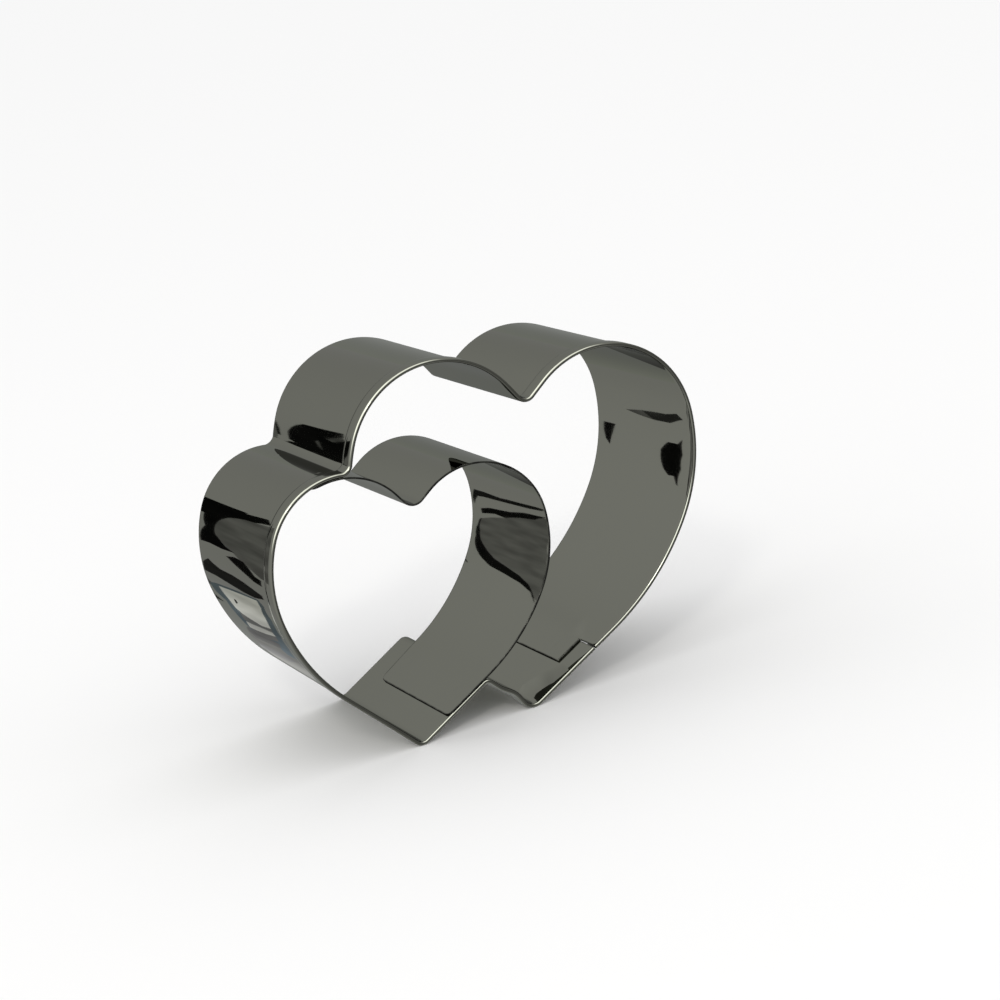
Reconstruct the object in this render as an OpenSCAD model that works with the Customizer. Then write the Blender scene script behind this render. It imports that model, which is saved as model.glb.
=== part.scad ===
// Cookie cutter of two overlapping hearts, bent from two strips of steel sheet
//
// The outer band follows the outline of both hearts. Its near edge is turned
// outwards and folded back into a smooth rim, its far edge is the plain
// cutting edge. The inner band completes the small heart inside the outline
// and stands back from the cutting edge, so that it only marks the dough.
// The bands are drawn lying flat, with z from the cutting edge to the rim,
// and are then stood upright on the two tips, with the rim to the front.

/* [Bands] */
// Depth of the cutter, from the cutting edge to the top of the rim
cutter_depth = 25; // [20:0.5:40]
// Thickness of the steel sheet
sheet_t = 0.22; // [0.15:0.01:0.3]
// Play between two sheets that lie against each other
lap_play = 0.02; // [0.01:0.01:0.05]

/* [Rolled rim] */
// Height of the folded hem, from the top of the rim to the end of the flap
hem_height = 2.3; // [1.5:0.1:3]
// Inside radius of the fold
hem_bend_r = 0.03; // [0.02:0.01:0.08]

/* [Large heart] */
// Radius of the bend in the cleft
large_cleft_r = 1.8; // [1.4:0.05:2.4]
// Turn of the cleft bend, from level to the slope of the flank
large_cleft_turn = 46.8; // [42:0.1:52]
// Straight flank between the cleft and the lobe
large_flank = 1.95; // [1:0.05:4]
// Radius of the lobe
large_lobe_r = 11.45; // [10.5:0.05:13]
// Turn of the lobe
large_lobe_turn = 123.6; // [115:0.1:128]
// Radius of the shoulder below the lobe
large_shoulder_r = 21.1; // [18:0.1:25]
// Turn of the shoulder
large_shoulder_turn = 36.6; // [30:0.1:40]
// Radius of the side that runs to the tip
large_side_r = 31.7; // [27:0.1:38]
// Turn of the side
large_side_turn = 29.3; // [24:0.1:33]
// Radius of the bend at the tip
large_tip_r = 1.4; // [1:0.05:2]

/* [Small heart] */
// Radius of the bend in the cleft
small_cleft_r = 1.75; // [1.3:0.05:2.2]
// Turn of the cleft bend, from level to the slope of the flank
small_cleft_turn = 45.3; // [41:0.1:50]
// Straight flank between the cleft and the lobe
small_flank = 1.15; // [0.5:0.05:2.5]
// Radius of the lobe
small_lobe_r = 9.1; // [8.5:0.05:10]
// Turn of the lobe
small_lobe_turn = 121; // [115:0.1:126]
// Radius of the shoulder below the lobe
small_shoulder_r = 15.3; // [13:0.1:18]
// Turn of the shoulder
small_shoulder_turn = 39; // [35:0.1:44]
// Radius of the side that runs to the tip
small_side_r = 24.65; // [22:0.05:30]
// Turn of the side
small_side_turn = 27.4; // [22:0.1:31]
// Radius of the bend at the tip
small_tip_r = 0.95; // [0.6:0.05:1.5]
// Distance of the small tip to the left of the large tip
small_left = 14.85; // [13.5:0.05:16.5]
// Distance of the small tip below the large tip
small_below = 2.55; // [1.5:0.05:4]
// Turn of the small heart about its tip
small_turn = 0.35; // [-2:0.05:3]

/* [Notches between the hearts] */
// Bend radius of the outer band where the lobes of the hearts meet
upper_notch_r = 1.2; // [0.9:0.1:1.8]
// Bend radius of the outer band where the sides of the hearts meet
lower_notch_r = 1.2; // [0.9:0.1:1.8]

/* [Lap seam of the outer band] */
// Distance of the butt line of the rim from the large tip, along the band
seam_from_tip = 10.4; // [9:0.1:12]
// Gap between the two ends of the rim
seam_gap = 0.3; // [0.25:0.01:0.5]
// Length of the tongue that laps behind the other end
tongue_lap = 3.8; // [3:0.1:5]
// Distance of the tongue's edge from the top of the rim
tongue_step = 3.7; // [3:0.1:6]

/* [Inner band] */
// Distance of its far edge from the cutting edge
inner_setback = 3.4; // [2:0.1:8]
// Distance of its near edge from the top of the rim
inner_drop = 0.05; // [0:0.05:1.5]
// Length of the tab that laps inside the small heart's left lobe
upper_lap = 5.1; // [3:0.1:6]
// Length of the tab that laps inside the small heart's right side
lower_lap = 6.8; // [5:0.1:7.5]
// Radius of the corners of the tabs
tab_corner_r = 1; // [0.6:0.1:1.4]

/* [Spot welds] */
// Diameter of a weld nugget
nugget_d = 1.6; // [1:0.1:2.2]
// Depth of a nugget in each of the two sheets that it joins
nugget_sink = 0.11; // [0.05:0.01:0.13]
// Distance between the two nuggets of a lap
nugget_pitch = 14; // [8:0.5:15]
// Place of the nuggets on a tab, as a share of its way from the notch to its end
tab_weld_share = 0.35; // [0.3:0.05:0.6]

/* [Hidden] */

// Largest distance between a bend and the facets that stand for it
chord_error = 0.01;
// Shortest facet that a cut through a band may leave
least_facet = 0.08;
// Overrun of a cut past the face that it starts from
overrun = 0.5;
// Facets of the fold of the rim, over its half turn
fold_facets = 6;
// Facets of a nugget and of a tab's corner
round_facets = 48;

// Thickness of the folded rim, two sheets and the inside of the fold
hem_t = 2 * sheet_t + 2 * hem_bend_r;

// A path is a list of samples [x, y, heading], clockwise round a heart, so
// that the outside of the cutter lies to the left of the heading

function last(list) = list[len(list) - 1];

function tail(list) = [for (i = [1:len(list) - 1]) list[i]];

function spot(sample) = [sample[0], sample[1]];

// The point that lies the given distance outside a sample
function outside(sample, distance) =
    spot(sample) + distance * [-sin(sample[2]), cos(sample[2])];

function ahead(sample, distance) =
    [sample[0] + distance * cos(sample[2]), sample[1] + distance * sin(sample[2]), sample[2]];

// The sample that a bend reaches, where a turn to the left is positive
function bent(sample, r, turn) =
    let (side = sign(turn) * r, heading = sample[2] + turn)
    [
        sample[0] - side * sin(sample[2]) + side * sin(heading),
        sample[1] + side * cos(sample[2]) - side * cos(heading),
        heading
    ];

function facets(r, turn) = max(2, ceil(abs(turn) / (2 * acos(1 - chord_error / r))));

function bend(sample, r, turn) =
    let (n = facets(r, turn))
    [for (i = [1:n]) bent(sample, r, turn * i / n)];

// The right half of a heart from its cleft to its tip, with the tip at zero.
// The straight between the side and the tip is as long as closes the heart.
function right_half(cleft, flank, lobe, shoulder, side, tip_r) =
    let (
        start = [0, 0, 0],
        to_cleft = bend(start, cleft[0], cleft[1]),
        on_flank = ahead(last(to_cleft), flank),
        to_lobe = bend(on_flank, lobe[0], -lobe[1]),
        to_shoulder = bend(last(to_lobe), shoulder[0], -shoulder[1]),
        to_side = bend(last(to_shoulder), side[0], -side[1]),
        heading = last(to_side)[2],
        tip_turn = -180 - heading,
        tip_reach = bent([0, 0, heading], tip_r, tip_turn)[0],
        on_side = ahead(last(to_side), -(last(to_side)[0] + tip_reach) / cos(heading)),
        to_tip = bend(on_side, tip_r, tip_turn),
        path = concat([start], to_cleft, [on_flank], to_lobe, to_shoulder, to_side, [on_side], to_tip),
        tip = last(path)
    )
    [for (sample = path) [sample[0] - tip[0], sample[1] - tip[1], sample[2]]];

// The left half of the same heart, from its tip to its cleft
function left_half(right) =
    [for (i = [len(right) - 1:-1:0]) [-right[i][0], right[i][1], -right[i][2]]];

// A path turned about zero and then moved
function placed(path, turn, move) =
    [
        for (sample = path)
        [
            sample[0] * cos(turn) - sample[1] * sin(turn) + move[0],
            sample[0] * sin(turn) + sample[1] * cos(turn) + move[1],
            sample[2] + turn
        ]
    ];

// The distance of each sample from the start of its path
function mileage(path) =
    [
        for (
            i = 0, s = 0;
            i < len(path);
            s = s + (i + 1 < len(path) ? norm(spot(path[i + 1]) - spot(path[i])) : 0), i = i + 1
        )
        s
    ];

function path_length(path) = last(mileage(path));

// The sample at a distance along a path
function sample_at(path, distance) =
    let (
        miles = mileage(path),
        passed = len([for (s = miles) if (s <= distance) s]),
        i = max(0, min(len(path) - 2, passed - 1)),
        way = (distance - miles[i]) / (miles[i + 1] - miles[i])
    )
    path[i] + way * (path[i + 1] - path[i]);

// The part of a path between two distances from its start
function stretch(path, from, to) =
    let (miles = mileage(path))
    concat(
        [sample_at(path, from)],
        [
            for (i = [0:len(path) - 1])
            if (miles[i] > from + least_facet && miles[i] < to - least_facet) path[i]
        ],
        [sample_at(path, to)]
    );

// Where two paths cross, as the distances along each of them
function crossing(path_a, path_b) =
    let (
        miles_a = mileage(path_a),
        miles_b = mileage(path_b),
        found =
            [
                for (i = [0:len(path_a) - 2])
                for (j = [0:len(path_b) - 2])
                let (
                    run_a = spot(path_a[i + 1]) - spot(path_a[i]),
                    run_b = spot(path_b[j + 1]) - spot(path_b[j]),
                    between = spot(path_b[j]) - spot(path_a[i]),
                    area = cross(run_a, run_b)
                )
                if (area != 0)
                let (u = cross(between, run_b) / area, v = cross(between, run_a) / area)
                if (u >= 0 && u < 1 && v >= 0 && v < 1)
                [miles_a[i] + u * norm(run_a), miles_b[j] + v * norm(run_b)]
            ]
    )
    found[0];

// The left turn from one heading to another
function left_turn(from, to) = (to - from + 720) % 360;

// A round notch between the end of one path and the start of the next
function notch(from, to, r) =
    let (
        turn = left_turn(from[2], to[2]),
        handle = 4 / 3 * tan(turn / 4) * r,
        a = spot(from),
        b = spot(ahead(from, handle)),
        c = spot(ahead(to, -handle)),
        d = spot(to),
        n = facets(r, turn)
    )
    [
        for (i = [1:n - 1])
        let (
            t = i / n,
            point = pow(1 - t, 3) * a + 3 * t * pow(1 - t, 2) * b + 3 * t * t * (1 - t) * c + pow(t, 3) * d,
            run = pow(1 - t, 2) * (b - a) + 2 * t * (1 - t) * (c - b) + t * t * (d - c)
        )
        [point[0], point[1], atan2(run[1], run[0])]
    ];

// How far before and after a crossing a round notch starts and ends
function notch_reach(path_a, path_b, at, r) =
    r * tan(left_turn(sample_at(path_a, at[0])[2], sample_at(path_b, at[1])[2]) / 2);

large_right =
    right_half(
        [large_cleft_r, large_cleft_turn], large_flank, [large_lobe_r, large_lobe_turn],
        [large_shoulder_r, large_shoulder_turn], [large_side_r, large_side_turn], large_tip_r
    );
large_left = left_half(large_right);
small_shape =
    right_half(
        [small_cleft_r, small_cleft_turn], small_flank, [small_lobe_r, small_lobe_turn],
        [small_shoulder_r, small_shoulder_turn], [small_side_r, small_side_turn], small_tip_r
    );
small_place = [-small_left, -small_below];
small_right = placed(small_shape, small_turn, small_place);
small_left_path = placed(left_half(small_shape), small_turn, small_place);

large_length = path_length(large_right);
small_length = path_length(small_right);

// The lower notch is passed from the large heart to the small one, and the
// upper notch from the small heart to the large one
lower_cross = crossing(large_left, small_right);
upper_cross = crossing(small_left_path, large_left);
lower_reach = notch_reach(large_left, small_right, lower_cross, lower_notch_r);
upper_reach = notch_reach(small_left_path, large_left, upper_cross, upper_notch_r);

// The outline, from one end of the rim at the seam round to the other
seam_at = large_length - seam_from_tip;
into_lower_notch = stretch(large_left, 0, lower_cross[0] - lower_reach);
small_lower = stretch(small_right, lower_cross[1] + lower_reach, small_length);
into_upper_notch = stretch(small_left_path, 0, upper_cross[0] - upper_reach);
large_upper = stretch(large_left, upper_cross[1] + upper_reach, large_length);
outline =
    concat(
        stretch(large_right, seam_at + seam_gap / 2, large_length),
        tail(into_lower_notch),
        notch(last(into_lower_notch), small_lower[0], lower_notch_r),
        small_lower,
        tail(into_upper_notch),
        notch(last(into_upper_notch), large_upper[0], upper_notch_r),
        large_upper,
        tail(stretch(large_right, 0, seam_at - seam_gap / 2))
    );

// The tongue goes on from the last end, inside the first one
tongue_path = stretch(large_right, seam_at + seam_gap / 2, seam_at + seam_gap / 2 + tongue_lap);
tongue_top = cutter_depth - tongue_step;

// The profile of the outer band, as pairs of points [distance outside, z] on
// the face that is inside the cutter and on the face that is outside it
fold_centre = [sheet_t + hem_bend_r, cutter_depth - sheet_t - hem_bend_r];
function on_fold(r, turn) = fold_centre + r * [-cos(turn), sin(turn)];
band_profile =
    concat(
        [
            [[0, 0], [sheet_t, 0]],
            [[0, tongue_top], [sheet_t, tongue_top]]
        ],
        [
            for (i = [0:fold_facets])
            let (turn = 180 * i / fold_facets)
            [on_fold(sheet_t + hem_bend_r, turn), on_fold(hem_bend_r, turn)]
        ],
        [[[hem_t, cutter_depth - hem_height], [hem_t - sheet_t, cutter_depth - hem_height]]]
    );
tongue_profile =
    [
        for (z = [0, tongue_top])
        [[-lap_play - sheet_t, z], [-lap_play, z]]
    ];

// The points of a profile at one sample of a path, up one face and down the other
function section(sample, profile) =
    let (n = len(profile), run = concat([for (p = profile) p[0]], [for (i = [n - 1:-1:0]) profile[i][1]]))
    [for (p = run) concat(outside(sample, p[0]), [p[1]])];

// The faces between two sections of n points, given by their first points
function sleeve(first, second, n) =
    [
        for (i = [0:n - 1])
        let (k = (i + 1) % n)
        [first + i, first + k, second + k, second + i]
    ];

module outer_band_sheet() {
    pairs = len(band_profile);
    n = 2 * pairs;
    rings = len(outline);
    last_ring = (rings - 1) * n;
    tongue_start = rings * n;
    tongue_rings = len(tongue_path);
    tongue_end = tongue_start + (tongue_rings - 1) * 4;
    points =
        concat(
            [for (sample = outline) each section(sample, band_profile)],
            [for (sample = tongue_path) each section(sample, tongue_profile)]
        );
    band_faces = [for (i = [0:rings - 2]) each sleeve(i * n, (i + 1) * n, n)];
    first_cap = [for (i = [0:pairs - 2]) [n - 1 - i, n - 2 - i, i + 1, i]];
    last_cap =
        [
            for (i = [1:pairs - 2])
            [last_ring + i, last_ring + i + 1, last_ring + n - 2 - i, last_ring + n - 1 - i]
        ];
    step_ring = [last_ring, last_ring + 1, last_ring + n - 2, last_ring + n - 1];
    step_faces =
        [
            for (i = [0:3])
            let (k = (i + 1) % 4)
            [step_ring[i], step_ring[k], tongue_start + k, tongue_start + i]
        ];
    tongue_faces =
        [
            for (i = [0:tongue_rings - 2])
            let (ring = tongue_start + i * 4)
            each sleeve(ring, ring + 4, 4)
        ];
    tongue_cap = [[tongue_end, tongue_end + 1, tongue_end + 2, tongue_end + 3]];
    polyhedron(points, concat(band_faces, first_cap, last_cap, step_faces, tongue_faces, tongue_cap), 10);
}

// The inner band follows the small heart through both crossings
inner_path =
    concat(
        stretch(small_left_path, upper_cross[0] - upper_lap, small_length),
        tail(stretch(small_right, 0, lower_cross[1] + lower_lap))
    );
inner_near = cutter_depth - inner_drop;

// Draws its children on a band, with x along the band and y to the outside
module on_band(sample, distance, z) {
    translate(concat(outside(sample, distance), [z]))
        rotate([0, 0, sample[2]])
            children();
}

// What is cut from the corners of a tab that ends at x = 0 and comes from -x
module tab_corner_cut() {
    for (edge = [[inner_setback, 0], [inner_near, 1]])
        translate([0, -sheet_t - lap_play - overrun, edge[0]])
            mirror([0, 0, edge[1]])
                rotate([-90, 0, 0])
                    mirror([0, 1, 0])
                        linear_extrude(height = sheet_t + 2 * overrun)
                            difference() {
                                translate([-tab_corner_r, -overrun])
                                    square([tab_corner_r + overrun, tab_corner_r + overrun]);
                                translate([-tab_corner_r, tab_corner_r])
                                    circle(r = tab_corner_r, $fn = round_facets);
                            }
}

// The weld spots of a lap, at a sample of the band and about a middle height
module nuggets(sample, middle, inward, outward) {
    for (side = [-1, 1])
        on_band(sample, -lap_play - inward, middle + side * nugget_pitch / 2)
            rotate([-90, 0, 0])
                cylinder(h = inward + lap_play + outward, d = nugget_d, $fn = round_facets);
}

seam_weld_spot = sample_at(large_right, seam_at + seam_gap / 2 + tongue_lap / 2);
seam_weld_middle = tongue_top / 2;
upper_weld_at = upper_reach + tab_weld_share * (upper_lap - upper_reach);
lower_weld_at = lower_reach + tab_weld_share * (lower_lap - lower_reach);
upper_weld_spot = sample_at(small_left_path, upper_cross[0] - upper_weld_at);
lower_weld_spot = sample_at(small_right, lower_cross[1] + lower_weld_at);
tab_weld_middle = (inner_setback + inner_near) / 2;

// Stands the flat cutter on its two tips, with the rim to the front
small_tip_centre = spot(ahead([small_place[0], small_place[1], small_turn + 90], small_tip_r));
tip_run = [0, large_tip_r] - small_tip_centre;
tip_rise = asin((large_tip_r - small_tip_r) / norm(tip_run));
stand_turn = tip_rise - atan2(tip_run[1], tip_run[0]);
rim_edge = placed([for (sample = outline) concat(outside(sample, hem_t), [0])], stand_turn, [0, 0]);
stand_middle = (max([for (p = rim_edge) p[0]]) + min([for (p = rim_edge) p[0]])) / 2;
stand_foot = min([for (p = rim_edge) p[1]]);

module stand() {
    translate([-stand_middle, cutter_depth / 2, -stand_foot])
        rotate([90, 0, 0])
            rotate([0, 0, stand_turn])
                children();
}

module outer_band() {
    color("#8c8d86")
        stand()
            difference() {
                outer_band_sheet();
                nuggets(seam_weld_spot, seam_weld_middle, nugget_sink, nugget_sink);
                nuggets(upper_weld_spot, tab_weld_middle, overrun, nugget_sink);
                nuggets(lower_weld_spot, tab_weld_middle, overrun, nugget_sink);
            }
}

module inner_band() {
    color("#9a9b94")
        stand()
            difference() {
                translate([0, 0, inner_setback])
                    linear_extrude(height = inner_near - inner_setback)
                        polygon(
                            concat(
                                [for (sample = inner_path) outside(sample, -lap_play)],
                                [
                                    for (i = [len(inner_path) - 1:-1:0])
                                    outside(inner_path[i], -lap_play - sheet_t)
                                ]
                            )
                        );
                on_band(last(inner_path), 0, 0)
                    tab_corner_cut();
                on_band(inner_path[0], 0, 0)
                    mirror([1, 0, 0])
                        tab_corner_cut();
                nuggets(upper_weld_spot, tab_weld_middle, nugget_sink, overrun);
                nuggets(lower_weld_spot, tab_weld_middle, nugget_sink, overrun);
            }
}

module seam_welds() {
    color("#767770")
        stand()
            nuggets(seam_weld_spot, seam_weld_middle, nugget_sink, nugget_sink);
}

module upper_tab_welds() {
    color("#767770")
        stand()
            nuggets(upper_weld_spot, tab_weld_middle, nugget_sink, nugget_sink);
}

module lower_tab_welds() {
    color("#767770")
        stand()
            nuggets(lower_weld_spot, tab_weld_middle, nugget_sink, nugget_sink);
}

outer_band();
inner_band();
seam_welds();
upper_tab_welds();
lower_tab_welds();
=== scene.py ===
"""Looks, stage and camera of a steel cookie cutter of two overlapping hearts.

Each band is formed as a metal worker forms it. A flat blank of sheet is bent
along the outline of the hearts and rolled over at its near edge, then it gets
its thickness and its broken edges. All lengths are in metres, and the forming
is done lying flat, with z from the cutting edge to the rim, before the band is
stood on the two tips with its rim to the front.
"""

from math import acos, asin, atan, atan2, ceil, copysign, cos, hypot, pi, radians, sin, tan

import bpy
import numpy as np
from bpy.props import FloatProperty, FloatVectorProperty, IntProperty, PointerProperty
from mathutils import Matrix, Vector


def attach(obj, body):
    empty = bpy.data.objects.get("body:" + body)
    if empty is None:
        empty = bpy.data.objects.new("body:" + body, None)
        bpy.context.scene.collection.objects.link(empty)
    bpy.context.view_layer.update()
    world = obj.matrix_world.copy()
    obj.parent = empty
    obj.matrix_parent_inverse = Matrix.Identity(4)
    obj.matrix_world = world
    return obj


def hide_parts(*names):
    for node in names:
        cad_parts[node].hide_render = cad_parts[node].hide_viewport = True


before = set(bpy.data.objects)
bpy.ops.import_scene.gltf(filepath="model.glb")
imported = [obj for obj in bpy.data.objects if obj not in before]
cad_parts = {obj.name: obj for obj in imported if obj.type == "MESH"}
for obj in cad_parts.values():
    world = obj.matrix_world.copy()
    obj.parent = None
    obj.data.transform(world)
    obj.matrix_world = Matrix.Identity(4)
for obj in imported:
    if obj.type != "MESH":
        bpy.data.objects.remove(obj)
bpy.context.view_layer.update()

bl_info = {
    "name": "Two Hearts Cookie Cutter",
    "version": (1, 0, 0),
    "blender": (4, 5, 0),
    "location": "View3D > Sidebar > Cutter",
    "description": "Forms the steel bands of a cookie cutter and sets its stage",
    "category": "Add Mesh",
}

MM = 0.001


def length(name, description, default):
    """A length of the object, given in millimetres and kept in metres."""
    return FloatProperty(
        name=name, description=description, default=default * MM, min=0.0, precision=6, unit="LENGTH"
    )


def angle(name, description, default):
    """A turn, given in degrees and kept in radians."""
    return FloatProperty(
        name=name, description=description, default=radians(default), precision=4, unit="ROTATION"
    )


def share(name, description, default):
    """A plain share from nothing to all."""
    return FloatProperty(
        name=name, description=description, default=default, min=0.0, max=1.0, subtype="FACTOR"
    )


def colour(name, description, default):
    """A linear colour."""
    return FloatVectorProperty(
        name=name, description=description, default=default, size=3, min=0.0, max=1.0, subtype="COLOR"
    )


class CutterBandSizes(bpy.types.PropertyGroup):
    """Sizes that both bands share"""

    depth: length("Depth", "From the cutting edge to the top of the rim", 25)
    sheet: length("Sheet", "Thickness of the steel sheet", 0.22)
    play: length("Lap play", "Play between two sheets that lie on each other", 0.02)
    hem_height: length("Hem height", "From the top of the rim to the end of its flap", 2.3)
    hem_bend: length("Hem bend", "Inside radius of the fold of the rim", 0.03)
    notch_r: length("Notch radius", "Bend where the two hearts meet", 1.2)
    seam_from_tip: length("Seam from tip", "From the large tip to the butt line", 10.4)
    seam_gap: length("Seam gap", "Gap between the two ends of the rim", 0.16)
    tongue_lap: length("Tongue lap", "Length of the tongue inside the other end", 3.8)
    tongue_step: length("Tongue step", "From the top of the rim to the tongue's edge", 3.7)
    flap_end: length("Flap end", "Length of the flap's end that is pressed to the wall", 0.45)
    flap_press: length("Flap press", "How far the flap's end is pressed in", 0.035)
    setback: length("Inner setback", "From the cutting edge to the inner band", 3.4)
    drop: length("Inner drop", "From the top of the rim to the inner band", 0.05)
    upper_lap: length("Upper lap", "Tab of the inner band in the left lobe", 5.1)
    lower_lap: length("Lower lap", "Tab of the inner band in the right side", 6.8)
    tab_corner: length("Tab corner", "Radius of the corners of the tabs", 1)
    weld_pitch: length("Weld pitch", "Distance between the two welds of a lap", 14)
    weld_share: share("Weld share", "Place of the welds on a tab, from its notch", 0.35)
    joggle: length("Joggle", "Length over which the sheet steps in to the tongue", 3.5)
    slant: length("Slant", "How far the inner band's far edge has drawn in at its lower end", 1.35)
    slant_run: length("Slant run", "Length over which the inner band's far edge draws in", 20)
    bow_start: length("Bow start", "From a tip to the part of its left side that was pushed", 0.3)
    small_left: length("Small heart left", "Of the large tip", 14.85)
    small_below: length("Small heart below", "The large tip", 2.55)
    small_turn: angle("Small heart turn", "About its tip", 0.35)


class CutterLargeHeart(bpy.types.PropertyGroup):
    """Bends of the large heart, from its cleft to its tip"""

    cleft_r: length("Cleft radius", "Bend in the cleft", 1.5)
    cleft_turn: angle("Cleft turn", "From level to the slope of the flank", 46.8)
    flank: length("Flank", "Straight between the cleft and the lobe", 2.25)
    lobe_r: length("Lobe radius", "Bend of the lobe", 11.45)
    lobe_turn: angle("Lobe turn", "Turn of the lobe", 123.6)
    shoulder_r: length("Shoulder radius", "Bend below the lobe", 21.1)
    shoulder_turn: angle("Shoulder turn", "Turn of the shoulder", 36.6)
    side_r: length("Side radius", "Bend of the side that runs to the tip", 31.7)
    side_turn: angle("Side turn", "Turn of the side", 29.3)
    tip_r: length("Tip radius", "Bend at the tip", 1.4)
    press: length("Press", "How far the left side was pressed in near the tip", 0.4)
    press_run: length("Press run", "Length of the pressed part", 5)


class CutterSmallHeart(bpy.types.PropertyGroup):
    """Bends of the small heart, from its cleft to its tip"""

    cleft_r: length("Cleft radius", "Bend in the cleft", 1.5)
    cleft_turn: angle("Cleft turn", "From level to the slope of the flank", 45.3)
    flank: length("Flank", "Straight between the cleft and the lobe", 1.4)
    lobe_r: length("Lobe radius", "Bend of the lobe", 9.1)
    lobe_turn: angle("Lobe turn", "Turn of the lobe", 121)
    shoulder_r: length("Shoulder radius", "Bend below the lobe", 15.3)
    shoulder_turn: angle("Shoulder turn", "Turn of the shoulder", 39)
    side_r: length("Side radius", "Bend of the side that runs to the tip", 24.65)
    side_turn: angle("Side turn", "Turn of the side", 27.4)
    tip_r: length("Tip radius", "Bend at the tip", 0.95)
    bulge: length("Bulge", "How far the left side bulges above the tip", 0.2)
    bulge_run: length("Bulge run", "Length of the bulge", 30)


class CutterFinish(bpy.types.PropertyGroup):
    """Surface of the steel"""

    steel: colour("Steel", "Colour of the polished sheet", (0.165, 0.168, 0.144))
    steel_dull: colour("Dull steel", "Colour of the sheet where it is handled", (0.157, 0.160, 0.137))
    # The near black of the sheared edges is painted shade, standing in for the dark lines along the gaps,
    # laps and tab ends
    raw_edge_shade: colour("Raw edge", "Colour of the sheared edges", (0.03, 0.03, 0.028))
    grazing: share("Grazing", "Share of the bare metal's brightness that is left at a grazing look", 0.5)
    weld: colour("Weld", "Colour of the weld nuggets", (0.09, 0.088, 0.083))
    gloss: share("Gloss roughness", "Roughness of the polished sheet", 0.02)
    edge_roughness: share("Edge roughness", "Roughness of the sheared edges", 0.35)
    # How far the painted edge shade and the rougher finish of a sheared edge reach in
    edge_reach: length("Edge reach", "How far the wear of an edge reaches in", 0.22)
    edge_break: length("Edge break", "Round left on the sheared edges", 0.06)
    wave: length("Wave", "Height of the slow waves in the sheet", 0.003)
    wave_size: length("Wave size", "Length of the slow waves in the sheet", 9)
    dent: length("Weld dent", "Depth of the marks over the welds", 0.02)
    dent_d: length("Weld dent diameter", "Diameter of the marks over the welds", 0.9)
    seed: IntProperty(name="Seed", description="Seed of the waves", default=4, min=0)


class CutterStage(bpy.types.PropertyGroup):
    """Floor, lamps and camera"""

    floor: colour("Floor", "Colour of the floor", (0.93, 0.93, 0.93))
    floor_size: length("Floor size", "Width of the floor", 6000)
    sky: share("Sky", "Light of the world on matt surfaces", 1.0)
    key_power: FloatProperty(
        name="Key power", description="Power of the key lamp", default=1.1, unit="POWER"
    )
    key_size: length("Key size", "Width of the key lamp", 150)
    lens: FloatProperty(name="Lens", description="Focal length of the camera", default=99.93, unit="CAMERA")


# The place of the camera, where it looks and where its top points
CAMERA_PLACE = Vector((-125.457, -304.722, 112.789)) * MM
CAMERA_LOOK = Vector((0.3843, 0.88534, -0.26171))
CAMERA_UP = Vector((0.27221, 0.16221, 0.94847))

# Largest distance between a bend and its chords, and the finest and widest
# steps of a blank
CHORD_ERROR = 0.001 * MM
FINE_STEP = 0.16 * MM
WIDE_STEP = 0.5 * MM
ROW_STEP = 0.8 * MM
EDGE_SUPPORT = 0.1 * MM
BOW_STEP = 0.2 * MM
FOLD_STEPS = 14

# Reach of the finest steps round a weld, and the radius below which a bend keeps its columns
WELD_REACH = 1 * MM
TIGHT_BEND_R = 3 * MM

# How the sheared edges are rounded, and how soon the inner band's far edge draws in
EDGE_SEGMENTS = 3
SHARP_ANGLE = radians(50)
SLANT_POWER = 1.3

# The inner band's rolling lines are taken from another layer of the same noise
INNER_LAYER = 1 * MM

# Layout of a node tree
NODE_WIDTH = 200
NODE_HEIGHT = 260
NODES_A_ROW = 12


# A path is a list of samples (x, y, heading), clockwise round a heart, so that
# the outside of the cutter lies to the left of the heading


def bent(sample, r, turn):
    """The sample that a bend reaches, where a turn to the left is positive."""
    x, y, heading = sample
    side = copysign(r, turn)
    after = heading + turn
    return (x - side * sin(heading) + side * sin(after), y + side * cos(heading) - side * cos(after), after)


def ahead(sample, distance):
    x, y, heading = sample
    return (x + distance * cos(heading), y + distance * sin(heading), heading)


def bend(sample, r, turn):
    n = max(2, ceil(abs(turn) / (2 * acos(1 - CHORD_ERROR / r))))
    return [bent(sample, r, turn * i / n) for i in range(1, n + 1)]


def right_half(heart):
    """The right half of a heart from its cleft to its tip, with the tip at zero."""
    path = [(0.0, 0.0, 0.0)]
    path += bend(path[-1], heart.cleft_r, heart.cleft_turn)
    path.append(ahead(path[-1], heart.flank))
    path += bend(path[-1], heart.lobe_r, -heart.lobe_turn)
    path += bend(path[-1], heart.shoulder_r, -heart.shoulder_turn)
    path += bend(path[-1], heart.side_r, -heart.side_turn)
    heading = path[-1][2]
    tip_turn = -pi - heading
    tip_reach = bent((0, 0, heading), heart.tip_r, tip_turn)[0]
    path.append(ahead(path[-1], -(path[-1][0] + tip_reach) / cos(heading)))
    path += bend(path[-1], heart.tip_r, tip_turn)
    tip = path[-1]
    return [(x - tip[0], y - tip[1], heading) for x, y, heading in path]


def left_half(right):
    """The left half of the same heart, from its tip to its cleft."""
    return [(-x, y, -heading) for x, y, heading in reversed(right)]


def placed(path, turn, move):
    """A path turned about zero and then moved."""
    return [
        (
            x * cos(turn) - y * sin(turn) + move[0],
            x * sin(turn) + y * cos(turn) + move[1],
            heading + turn,
        )
        for x, y, heading in path
    ]


def mileage(path):
    """The distance of each sample from the start of its path."""
    spots = np.array(path)[:, :2]
    runs = np.hypot(*np.diff(spots, axis=0).T)
    return np.concatenate([[0.0], np.cumsum(runs)])


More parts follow.
